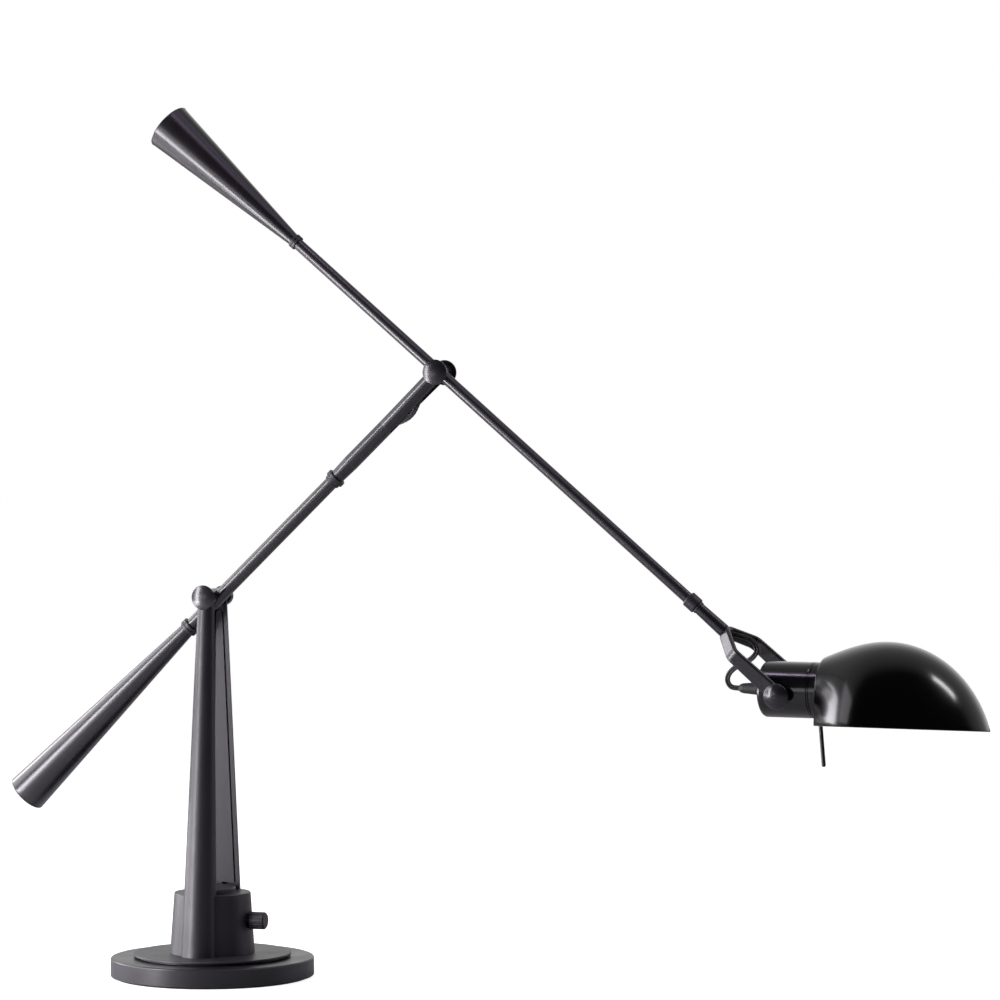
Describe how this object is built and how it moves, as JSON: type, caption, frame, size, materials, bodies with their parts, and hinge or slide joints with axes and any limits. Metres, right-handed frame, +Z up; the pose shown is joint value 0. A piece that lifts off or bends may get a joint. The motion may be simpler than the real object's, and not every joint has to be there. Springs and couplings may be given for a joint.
{
  "type": "architect desk lamp",
  "caption": "Counterbalanced two-arm desk lamp with a split column on a weighted round base, tapered counterweights, tilting yoke and a domed metal shade.",
  "frame": {"origin": "centre of the base on the surface it stands on", "axes": "+Z up; +X from the column towards the lamp head in the plane of the two arms; the pivots lie along Y"},
  "size_m": [1.006, 0.2049, 0.8698],
  "materials": {
    "black_lacquer": "near-black polished lacquer over metal",
    "satin_lacquer": "satin near-black lacquer over metal",
    "cast_base": "cast iron under satin near-black lacquer",
    "ballast_iron": "raw cast iron",
    "steel": "zinc plated steel",
    "black_steel": "blackened steel",
    "aluminium_head": "spun aluminium under near-black polished lacquer",
    "nylon": "black nylon",
    "black_plastic": "moulded black plastic",
    "felt": "dense black felt",
    "rubber": "matt black rubber",
    "braid": "black woven braid over the lead",
    "brass": "lacquered brass screw cap",
    "bulb_glass": "frosted glass"
  },
  "bodies": {
    "base": {"base_weight": "cast_base", "base_pad": "felt", "cord_grommet": "rubber", "bearing_washer": "nylon"},
    "column": {"swivel_nipple": "steel", "swivel_nuts": "steel", "spring_washer": "steel", "base_step": "satin_lacquer", "foot_screws": "steel", "hub": "satin_lacquer", "upright_front": "satin_lacquer", "upright_rear": "satin_lacquer", "cable_cover": "satin_lacquer", "cover_screw": "black_steel", "dimmer_body": "black_plastic", "dimmer_nut": "black_steel", "shoulder_pins": "steel", "shoulder_cap_front": "black_lacquer", "shoulder_cap_rear": "black_lacquer"},
    "dimmer_knob": {"dimmer_knob": "satin_lacquer", "dimmer_shaft": "black_plastic"},
    "lower_arm": {"shoulder_barrel": "black_lacquer", "shoulder_washers": "nylon", "lower_tube": "black_lacquer", "lower_ring": "satin_lacquer", "lower_weight_shell": "black_lacquer", "lower_weight_ballast": "ballast_iron", "lower_weight_end_cap": "black_lacquer", "mid_collar": "satin_lacquer", "elbow_fork": "black_lacquer", "elbow_pin": "steel", "elbow_cap_front": "black_lacquer", "elbow_cap_rear": "black_lacquer", "elbow_washers": "nylon", "elbow_lead": "braid"},
    "upper_arm": {"upper_tube": "black_lacquer", "upper_ring": "satin_lacquer", "upper_weight_shell": "black_lacquer", "upper_weight_ballast": "ballast_iron", "upper_weight_end_cap": "black_lacquer", "elbow_boss": "black_lacquer", "swivel_collar": "satin_lacquer"},
    "yoke": {"yoke": "black_lacquer", "yoke_lock_ring": "satin_lacquer", "head_pins": "steel", "head_cap_front": "black_lacquer", "head_cap_rear": "black_lacquer", "head_lead": "rubber"},
    "head": {"socket_housing": "aluminium_head", "head_washers": "nylon", "strain_relief": "rubber", "lamp_socket": "black_plastic", "bulb_base": "brass", "bulb": "bulb_glass"},
    "shade": {"shade": "aluminium_head", "shade_ring": "aluminium_head", "shade_lever": "satin_lacquer", "shade_screws": "steel"}
  },
  "joints": [
    {"name": "column_swivel", "type": "hinge", "parent": "base", "child": "column", "pos_m": [0, 0, 0.02], "axis": [0, 0, 1], "range_deg": [-170, 170]},
    {"name": "dimmer_turn", "type": "hinge", "parent": "column", "child": "dimmer_knob", "pos_m": [0.042, 0, 0.0572], "axis": [1, 0, 0], "range_deg": [0, 300]},
    {"name": "shoulder", "type": "hinge", "parent": "column", "child": "lower_arm", "pos_m": [0, 0, 0.3797], "axis": [0, -1, 0], "range_deg": [-20, 50]},
    {"name": "elbow", "type": "hinge", "parent": "lower_arm", "child": "upper_arm", "pos_m": [0.2398, 0, 0.6028], "axis": [0, 1, 0], "range_deg": [-45, 30], "deforming": ["elbow_lead"]},
    {"name": "yoke_swivel", "type": "hinge", "parent": "upper_arm", "child": "yoke", "pos_m": [0.50212, 0, 0.37565], "axis": [0.756, 0, -0.6546], "range_deg": [-90, 90]},
    {"name": "head_tilt", "type": "hinge", "parent": "yoke", "child": "head", "pos_m": [0.59155, 0, 0.29821], "axis": [0.1249, 0.9816, 0.1442], "range_deg": [-40, 45], "deforming": ["head_lead"]},
    {"name": "shade_turn", "type": "hinge", "parent": "head", "child": "shade", "pos_m": [0.59155, 0, 0.29821], "axis": [0.992, -0.1262, 0], "range_deg": [-45, 45]}
  ]
}
